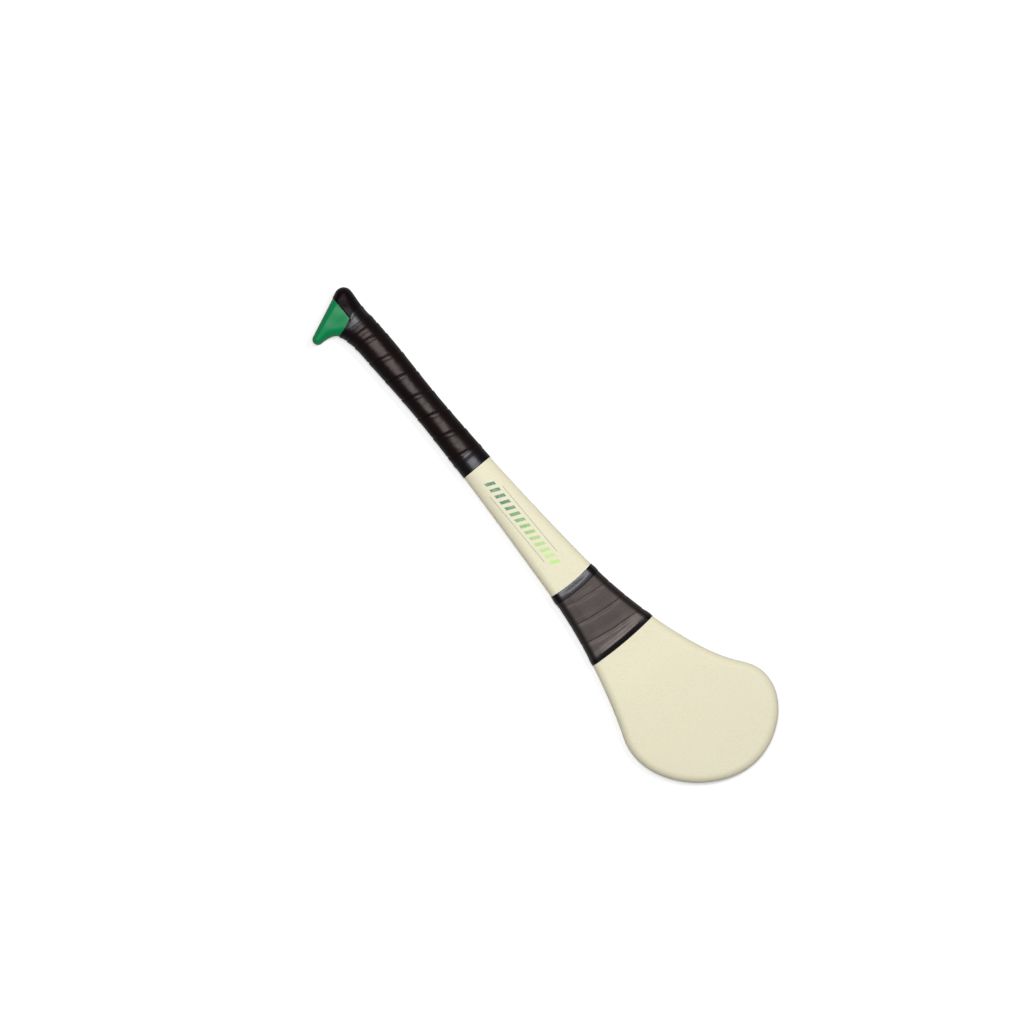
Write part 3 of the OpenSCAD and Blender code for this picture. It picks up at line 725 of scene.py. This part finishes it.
def neck_tape_station(share):
    """The neck tape runs from the cap, where its stations turn, onto the handle."""
    if share < NECK_TAPE_ON_CAP:
        return cap_stations([NECK_TAPE_SHARE * (1 - share / NECK_TAPE_ON_CAP)])
    beyond = (share - NECK_TAPE_ON_CAP) / (1 - NECK_TAPE_ON_CAP)
    return stick_stations([mix(CAP_LENGTH, NECK_TAPE_END, beyond)])


def lift_over_strap(share, seat):
    """The neck tape steps up onto the strap, on the strap's side of its straight edge."""
    step_share, step_run, clearance = 0.06, 1.6, 0.03
    on_strap = NECK_TAPE_SHARE * (1 - share / NECK_TAPE_ON_CAP)
    along = float(smooth((on_strap - STRAP_START_SHARE + step_share) / step_share))
    across = float(smooth((seat[1] + STRAP_EDGE + step_run) / step_run))
    return (STRAP_THICKNESS + clearance) * along * across


place(band("neck_collar_tape", neck_tape_station, band_section(12, 0.65, 0.35), vinyl_tape,
           lift_over_strap), "neck_tape")


def grip_finish_station(share):
    return stick_stations([mix(GRIP_FINISH_START, GRIP_END, share)])


def lift_over_grip(share, seat):
    """The finishing tape lies on the grip's last turn, and steps down onto the shaft."""
    height, step_start, step_run = 0.62, 2.4, 2.6
    return height * (1 - float(smooth((share * GRIP_FINISH_WIDTH - step_start) / step_run)))


place(band("grip_end_tape", grip_finish_station, band_section(GRIP_FINISH_WIDTH, 0.6, 0.1), vinyl_tape,
           lift_over_grip), "grip_finishing_tape")


# How much thicker the throat's tape lies on the faces and thinner on the rims, as a share, and how
# far in from the rim it thickens
THROAT_BUILD = 0.4
THIN_RUN = 9.0


def tape_build(st, reach, built_up):
    """How thick a tape lies at a reach, as a share: built up on the faces and pulled thin on the rims."""
    face_width = np.linalg.norm(st.toe - st.hook, axis=1) - 2 * st.rounding
    from_rim = np.clip(min(reach - 1, 2 - reach), 0, 1) * face_width
    return 1 + built_up * (2 * smooth(from_rim / THIN_RUN) - 1)


def bowed_band(name, start, end, thickness, crown, lift_at):
    """A band on the throat, whose edges bow towards the bas on the flat faces."""
    rows = []
    for share, out in band_section(end - start, thickness, crown):
        flat = stick_stations([mix(start, end, share)])
        widest = max(flat.toe[0, 1], -flat.hook[0, 1])
        ring = []
        for reach, side in ALL_ROUND:
            y = surface(flat, reach, side, 0.0)[0, 1] / widest
            bowed = stick_stations([mix(start, end, share) + THROAT_BOW * (1 - y * y)])
            lift = lift_at(share) * float(tape_build(bowed, reach, THROAT_BUILD)[0])
            ring.append(surface(bowed, reach, side, out + lift)[0])
        rows.append(ring)
    rows = pressed_flat(laid(np.array(rows)))
    faces = ring_faces(rows.shape[0], rows.shape[1], True)
    return mesh_piece(name, rows.reshape(-1, 3), faces, vinyl_tape)


def lift_over_throat_tape(share):
    """The upper end tape lies over the wound tape's end, and sags a little beyond it."""
    return 0.6 * float(smooth((share - 0.05) / 0.6))


def lift_over_roll(share):
    """The lower end tape starts on the roll that the wound tape makes, and runs down to the bas."""
    return 0.55 * (1 - float(smooth(share / 0.95)))


place(bowed_band("throat_upper_end_tape", THROAT_START, THROAT_START + THROAT_UPPER_WIDTH, 0.6, 0.3,
                 lift_over_throat_tape), "throat_upper_tape")
place(bowed_band("throat_lower_end_tape", THROAT_END - THROAT_LOWER_WIDTH, THROAT_END, 0.42, 0.1,
                 lift_over_roll), "throat_lower_tape")


# Wound tapes. A flat ribbon is wound onto a copy of the stick's surface that is unrolled in its
# own UV map: u is the distance along the stick in metres and v the turn round it.


def unrolled_surface(name, start, end, bow, reverse, built_up):
    """The surface that a tape is wound on, with its way outwards, from start to end."""
    places = np.arange(start, end + 1.0, 1.0)
    count = len(ALL_ROUND)
    middle = HALF_ROUND.index(1.5)
    order = [(middle - k) % count for k in range(-1, count + 2)]
    waist = stick_stations([(start + end) / 2])
    loop = np.array([surface(waist, *ALL_ROUND[i], 0.0)[0] for i in order])
    steps = np.linalg.norm(np.diff(loop, axis=0), axis=1)
    turns = np.concatenate([[0.0], np.cumsum(steps)])
    turns = (turns - turns[1]) / (turns[-2] - turns[1])
    flat = stick_stations(places)
    widest = np.maximum(flat.toe[:, 1], -flat.hook[:, 1])
    points, outwards = [], []
    for i in order:
        reach, side = ALL_ROUND[i]
        y = surface(flat, reach, side, 0.0)[:, 1] / widest
        st = stick_stations(places + bow * (1 - y * y))
        points.append(surface(st, reach, side, 0.0))
        outwards.append((surface(st, reach, side, 1.0) - points[-1])
                        * tape_build(st, reach, built_up)[:, None])
    points = laid(np.array(points))
    turned = (laid(np.array(outwards)) - laid(np.zeros(3))) / MM
    rows, cols = len(order), len(places)
    faces = [(j * cols + i, j * cols + i + 1, (j + 1) * cols + i + 1, (j + 1) * cols + i)
             for j in range(rows - 1) for i in range(cols - 1)]
    mesh = bpy.data.meshes.new(name)
    mesh.from_pydata([tuple(p) for p in points.reshape(-1, 3)], [], faces)
    along = (end - places if reverse else places - start) * MM
    round_it = 1 - turns if reverse else turns
    wrap = np.stack(np.broadcast_arrays(along[None, :], round_it[:, None], np.zeros((rows, cols))), axis=-1)
    mesh.attributes.new("wrap", "FLOAT_VECTOR", "POINT").data.foreach_set("vector", wrap.ravel())
    mesh.attributes.new("outward", "FLOAT_VECTOR", "POINT").data.foreach_set("vector", turned.ravel())
    carrier = bpy.data.objects.new(name, mesh)
    bpy.context.scene.collection.objects.link(carrier)
    return carrier


# Where the roll at the winding's start is highest, and where it ends
ROLL_TOP = 2.2
ROLL_FOOT = 8.0
# How finely a ribbon is divided, and the share of its width that each rounded edge takes
RIBBON_COLUMNS = 34
ROWS_PER_TURN = 96
EDGE_ROUND = 0.03


def ribbon(name, first_turn, last_turn):
    """A closed flat ribbon that holds, at each point, the turn it is in, its share across the
    strip and its share of the strip's thickness."""
    shares = [0.5 - 0.5 * math.cos(math.pi * i / (RIBBON_COLUMNS - 1)) for i in range(RIBBON_COLUMNS)]
    edge = [math.sqrt(1 - (1 - min(min(s, 1 - s) / EDGE_ROUND, 1.0))**2) for s in shares]
    loop = [(s, 0.5 + 0.5 * e) for s, e in zip(shares, edge)]
    loop += [(s, 0.5 - 0.5 * e) for s, e in list(zip(shares, edge))[-2:0:-1]]
    rows = int((last_turn - first_turn) * ROWS_PER_TURN) + 1
    turns = np.linspace(first_turn, last_turn, rows)
    cols = len(loop)
    faces = ring_faces(rows, cols)
    faces += [tuple(range(cols - 1, -1, -1)), tuple((rows - 1) * cols + i for i in range(cols))]
    mesh = bpy.data.meshes.new(name)
    mesh.from_pydata([(t, s, b) for t in turns for s, b in loop], [], faces)
    for key, values in (("turn", [t for t in turns for _ in loop]),
                        ("across", [s for _ in turns for s, b in loop]),
                        ("body", [b for _ in turns for s, b in loop])):
        mesh.attributes.new(key, "FLOAT", "POINT").data.foreach_set("value", values)
    piece = bpy.data.objects.new(name, mesh)
    bpy.context.scene.collection.objects.link(piece)
    return piece


WINDING_INPUTS = ["Start", "Finish", "Close Pitch", "Close Turns", "Pitch", "Phase", "Lap", "Fall",
                  "Clearance", "Thickness", "Tail Share", "Roll", "Waviness", "Wrinkle", "Seed"]


def winding_tree():
    """Geometry nodes that wind a ribbon round a stick: each turn laps over the edge of the one
    before, the ribbon is trimmed square at both ends of the winding, and its edge wanders."""
    tree = bpy.data.node_groups.new("wind tape round stick", "GeometryNodeTree")
    tree.is_modifier = True
    tree.interface.new_socket("Geometry", in_out="INPUT", socket_type="NodeSocketGeometry")
    tree.interface.new_socket("Stick", in_out="INPUT", socket_type="NodeSocketObject")
    tree.interface.new_socket("Material", in_out="INPUT", socket_type="NodeSocketMaterial")
    for name in WINDING_INPUTS:
        tree.interface.new_socket(name, in_out="INPUT", socket_type="NodeSocketFloat")
    tree.interface.new_socket("Geometry", in_out="OUTPUT", socket_type="NodeSocketGeometry")
    given = add(tree, "NodeGroupInput").outputs
    turn = add(tree, "GeometryNodeInputNamedAttribute", {"Name": "turn"}, data_type="FLOAT")
    across = add(tree, "GeometryNodeInputNamedAttribute", {"Name": "across"}, data_type="FLOAT")
    body = add(tree, "GeometryNodeInputNamedAttribute", {"Name": "body"}, data_type="FLOAT")

    def lap_edge(turns):
        """Distance along the stick of the edge at which a turn laps over the one before."""
        close = add(tree, "ShaderNodeMath", {0: turns, 1: given["Close Turns"]}, operation="MINIMUM")
        rest = add(tree, "ShaderNodeMath", {0: turns, 1: given["Close Turns"]}, operation="SUBTRACT")
        rest = add(tree, "ShaderNodeMath", {0: rest, 1: 0.0}, operation="MAXIMUM")
        edge = add(tree, "ShaderNodeMath", {0: close, 1: given["Close Pitch"], 2: given["Start"]},
                   operation="MULTIPLY_ADD")
        return add(tree, "ShaderNodeMath", {0: rest, 1: given["Pitch"], 2: edge}, operation="MULTIPLY_ADD")

    near = lap_edge(turn)
    next_turn = add(tree, "ShaderNodeMath", {0: turn, 1: 1.0}, operation="ADD")
    far = add(tree, "ShaderNodeMath", {0: lap_edge(next_turn), 1: given["Lap"]}, operation="ADD")
    seed = add(tree, "ShaderNodeMath", {0: turn, 1: 3.1, 2: given["Seed"]}, operation="MULTIPLY_ADD")
    wander = add(tree, "ShaderNodeTexNoise", {"W": seed, "Scale": 1.0, "Detail": 2.0},
                 noise_dimensions="1D")
    wander = add(tree, "ShaderNodeMath", {0: wander, 1: 0.5}, operation="SUBTRACT")
    near = add(tree, "ShaderNodeMath", {0: wander, 1: given["Waviness"], 2: near},
               operation="MULTIPLY_ADD")
    low = add(tree, "ShaderNodeMath", {0: near, 1: given["Start"]}, operation="MAXIMUM")
    high = add(tree, "ShaderNodeMath", {0: far, 1: given["Finish"]}, operation="MINIMUM")
    along = add(tree, "ShaderNodeMix", {0: across, 2: low, 3: high}, data_type="FLOAT")

    tail = add(tree, "ShaderNodeMath", {0: given["Thickness"], 1: given["Tail Share"]},
               operation="MULTIPLY")
    soft = add(tree, "ShaderNodeMath", {0: given["Lap"], 1: given["Fall"]}, operation="ADD")
    from_near = add(tree, "ShaderNodeMath", {0: along, 1: near}, operation="SUBTRACT")
    lift = add(tree, "ShaderNodeMapRange", {0: from_near, 1: given["Lap"], 2: soft, 3: tail, 4: 0.0},
               interpolation_type="SMOOTHSTEP")
    to_far = add(tree, "ShaderNodeMath", {0: far, 1: along}, operation="SUBTRACT")
    thick = add(tree, "ShaderNodeMapRange", {0: to_far, 1: given["Lap"], 2: soft, 3: tail,
                                             4: given["Thickness"]}, interpolation_type="SMOOTHSTEP")

    phased = add(tree, "ShaderNodeMath", {0: turn, 1: given["Phase"]}, operation="ADD")
    part_turn = add(tree, "ShaderNodeMath", {0: phased, 1: 1.0}, operation="FLOORED_MODULO")
    unrolled = add(tree, "ShaderNodeCombineXYZ", {0: along, 1: part_turn})
    stick = add(tree, "GeometryNodeObjectInfo", {0: given["Stick"]}).outputs["Geometry"]
    wrap = add(tree, "GeometryNodeInputNamedAttribute", {"Name": "wrap"}, data_type="FLOAT_VECTOR")
    outward = add(tree, "GeometryNodeInputNamedAttribute", {"Name": "outward"}, data_type="FLOAT_VECTOR")
    position = add(tree, "GeometryNodeInputPosition")
    seat = add(tree, "GeometryNodeSampleUVSurface", {0: stick, 1: position, 2: wrap, 3: unrolled},
               data_type="FLOAT_VECTOR")
    way = add(tree, "GeometryNodeSampleUVSurface", {0: stick, 1: outward, 2: wrap, 3: unrolled},
              data_type="FLOAT_VECTOR")

    puckers = add(tree, "ShaderNodeTexNoise", {"Vector": seat, "W": given["Seed"], "Scale": 110.0,
                                               "Detail": 2.0}, noise_dimensions="4D")
    puckers = add(tree, "ShaderNodeMath", {0: puckers, 1: 0.5}, operation="SUBTRACT")
    swell = add(tree, "ShaderNodeMath", {0: puckers, 1: given["Wrinkle"], 2: thick},
                operation="MULTIPLY_ADD")
    # Over the doubled tape at its start the winding rises in a roll, ROLL_TOP in and ROLL_FOOT wide
    from_start = add(tree, "ShaderNodeMath", {0: along, 1: given["Start"]}, operation="SUBTRACT")
    rise = add(tree, "ShaderNodeMapRange", {0: from_start, 1: 0.0, 2: ROLL_TOP * MM, 3: 0.0,
                                            4: given["Roll"]}, interpolation_type="SMOOTHSTEP")
    fade = add(tree, "ShaderNodeMapRange", {0: from_start, 1: ROLL_TOP * MM, 2: ROLL_FOOT * MM, 3: 1.0,
                                            4: 0.0}, interpolation_type="SMOOTHSTEP")
    lift = add(tree, "ShaderNodeMath", {0: rise, 1: fade, 2: lift}, operation="MULTIPLY_ADD")
    top = add(tree, "ShaderNodeMath", {0: swell, 1: body, 2: lift}, operation="MULTIPLY_ADD")
    height = add(tree, "ShaderNodeMath", {0: top, 1: given["Clearance"]}, operation="ADD")
    offset = add(tree, "ShaderNodeVectorMath", {0: way, 3: height}, operation="SCALE")
    target = add(tree, "ShaderNodeVectorMath", {0: seat, 1: offset}, operation="ADD")
    moved = add(tree, "GeometryNodeSetPosition", {0: given["Geometry"], 2: target})
    real = add(tree, "GeometryNodeRealizeInstances", {0: moved})
    dressed = add(tree, "GeometryNodeSetMaterial", {0: real, 2: given["Material"]})
    add(tree, "NodeGroupOutput", {0: dressed})
    return tree


wind_tape = winding_tree()


def wound_tape(name, carrier, turns, material, sizes):
    """Winds one ribbon on a carrier. Sizes holds the tree's inputs, in millimetres or counts."""
    piece = ribbon(name, *turns)
    winding = piece.modifiers.new("winding", "NODES")
    winding.node_group = wind_tape
    counts = ("Close Turns", "Phase", "Tail Share", "Seed")
    for socket in wind_tape.interface.items_tree:
        if socket.in_out == "OUTPUT" or socket.name == "Geometry":
            continue
        if socket.name == "Stick":
            winding[socket.identifier] = carrier
        elif socket.name == "Material":
            winding[socket.identifier] = material
        else:
            value = sizes[socket.name]
            winding[socket.identifier] = float(value) if socket.name in counts else value * MM
    bpy.context.view_layer.update()
    evaluated_copy(piece)
    mesh = piece.data
    for key in ("turn", "across", "body"):
        mesh.attributes.remove(mesh.attributes[key])
    points = np.zeros(len(mesh.vertices) * 3)
    mesh.vertices.foreach_get("co", points)
    mesh.vertices.foreach_set("co", pressed_flat(points.reshape(-1, 3)).ravel())
    work = bmesh.new()
    work.from_mesh(mesh)
    bmesh.ops.recalc_face_normals(work, faces=work.faces)
    work.to_mesh(mesh)
    work.free()
    for polygon in mesh.polygons:
        polygon.use_smooth = True
    mesh.set_sharp_from_angle(angle=math.radians(50))
    carrier_mesh = carrier.data
    bpy.data.objects.remove(carrier)
    bpy.data.meshes.remove(carrier_mesh)
    return piece


def last_turn(length, close_pitch, close_turns, pitch, least_width=1.5):
    """The turn at which a winding of this length is trimmed down to its least width."""
    return close_turns + (length - least_width - close_pitch * close_turns) / pitch


GRIP_START = NECK_TAPE_END - 0.8
GRIP = {"Start": 0.0, "Finish": GRIP_FINISH_START + 2.0 - GRIP_START, "Close Pitch": 9.6, "Close Turns": 2,
        "Pitch": 23.85, "Phase": 0.0, "Lap": 2.6, "Fall": 2.4, "Clearance": TAPE_GAP, "Thickness": 0.8,
        "Tail Share": 0.34, "Roll": 0.0, "Waviness": 1.6, "Wrinkle": 0.16, "Seed": 5}
grip_carrier = unrolled_surface("grip surface", GRIP_START - 1, GRIP_END, 0.0, False, 0.0)
place(wound_tape("wound_grip_tape", grip_carrier,
                 (-1.0, last_turn(GRIP["Finish"], GRIP["Close Pitch"], GRIP["Close Turns"], GRIP["Pitch"])),
                 grip_tape, GRIP), "grip_wrap")

THROAT = {"Start": 0.0, "Finish": 66.3, "Close Pitch": 20.6, "Close Turns": 0, "Pitch": 20.6, "Phase": 0.3,
          "Lap": 2.2, "Fall": 4.0, "Clearance": TAPE_GAP, "Thickness": 0.62, "Tail Share": 0.14, "Roll": 0.6,
          "Waviness": 1.4, "Wrinkle": 0.1, "Seed": 11}
throat_carrier = unrolled_surface("throat surface", THROAT_START + 5, THROAT_END - 3.0, THROAT_BOW, True,
                                  THROAT_BUILD)
place(wound_tape("wound_throat_tape", throat_carrier,
                 (-1.0, last_turn(THROAT["Finish"], 0.0, 0, THROAT["Pitch"])),
                 throat_tape, THROAT), "throat_wrap")


# The foam core and the spar keep their CAD shapes

for node, material in (("bas_core", foam_plastic()), ("handle_spar", fibre_resin())):
    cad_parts[node].data.materials.clear()
    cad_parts[node].data.materials.append(material)


# Floor, lamps and camera


def floor_material():
    """Matt pale paper. To the camera it is lifted to plain white, the more so away from the stick."""
    material, tree = new_material("matt pale paper")
    seen = add(tree, "ShaderNodeLightPath").outputs
    lift = add(tree, "ShaderNodeMath", {0: seen["Is Camera Ray"], 1: seen["Is Transmission Ray"]},
               operation="MAXIMUM")
    where = add(tree, "ShaderNodeTexCoord").outputs["Object"]
    away = add(tree, "ShaderNodeVectorMath", {0: where}, operation="LENGTH").outputs["Value"]
    level = add(tree, "ShaderNodeMapRange", {0: away, 1: 0.3, 2: 0.7, 3: 0.5, 4: 0.66})
    glow = add(tree, "ShaderNodeMath", {0: lift, 1: level}, operation="MULTIPLY")
    finish_surface(tree, add(tree, "ShaderNodeBsdfPrincipled", {
        "Base Color": colour("#c9c9c9"), "Roughness": 0.9, "Specular IOR Level": 0.0,
        "Emission Color": colour("#ffffff"), "Emission Strength": glow}))
    return material


# The floor lies a little below the stick, so that the two never share a plane
FLOOR_SIDE = 12.0
FLOOR_DROP = 0.0003
corners = [(x * FLOOR_SIDE / 2, y * FLOOR_SIDE / 2, -FLOOR_DROP)
           for x, y in ((-1, -1), (1, -1), (1, 1), (-1, 1))]
floor = mesh_piece("studio_floor", corners, [(0, 1, 2, 3)], floor_material())
if floor.data.polygons[0].normal.z < 0:
    floor.data.flip_normals()


def soft_lamp(name, position, target, size, power):
    data = bpy.data.lights.new(name, "AREA")
    data.shape = "DISK"
    data.size = size
    data.energy = power
    lamp = bpy.data.objects.new(name, data)
    bpy.context.scene.collection.objects.link(lamp)
    way = np.array(target, float) - np.array(position, float)
    lamp.location = position
    lamp.rotation_euler = (math.atan2(math.hypot(way[0], way[1]), -way[2]), 0,
                           math.atan2(way[1], way[0]) - math.pi / 2)
    return lamp


soft_lamp("key softbox", (-0.24, 0.07, 1.8), (0, 0, 0), 0.6, 22)
edge_lamp = soft_lamp("edge lamp", (0.0, 1.0, 1.9), (0, 0, 0), 0.35, 15)
edge_lamp.visible_glossy = False

world = bpy.data.worlds.new("studio")
bpy.context.scene.world = world
world.use_nodes = True
world.node_tree.nodes.clear()
rays = add(world.node_tree, "ShaderNodeLightPath").outputs
backdrop = add(world.node_tree, "ShaderNodeMath", {0: rays["Is Camera Ray"], 1: rays["Is Transmission Ray"]},
               operation="MAXIMUM")
level = add(world.node_tree, "ShaderNodeMapRange", {0: backdrop, 3: 0.13, 4: 1.0})
sky = add(world.node_tree, "ShaderNodeBackground", {"Color": colour("#ffffff"), "Strength": level})
add(world.node_tree, "ShaderNodeOutputWorld", {"Surface": sky})

# The camera looks straight down. Its frame is 989 mm wide at the stick, and is turned so that the
# handle runs from the upper left to the lower right.
VIEW_WIDTH = 989.3 * MM
VIEW_CENTRE = ((273.0 - LENGTH / 2) * MM, (-1.07 - MIDDLE_Y) * MM)
VIEW_TURN = 50.24
CAMERA_HEIGHT = 3.4
PLANE_HEIGHT = 12 * MM
camera_data = bpy.data.cameras.new("camera")
camera_data.sensor_width = 36.0
camera_data.lens = 36.0 * (CAMERA_HEIGHT - PLANE_HEIGHT) / VIEW_WIDTH
camera = bpy.data.objects.new("camera", camera_data)
bpy.context.scene.collection.objects.link(camera)
camera.location = (VIEW_CENTRE[0], VIEW_CENTRE[1], CAMERA_HEIGHT)
camera.rotation_euler = (0, 0, math.radians(VIEW_TURN))
bpy.context.scene.camera = camera
bpy.context.scene.view_settings.view_transform = "Standard"
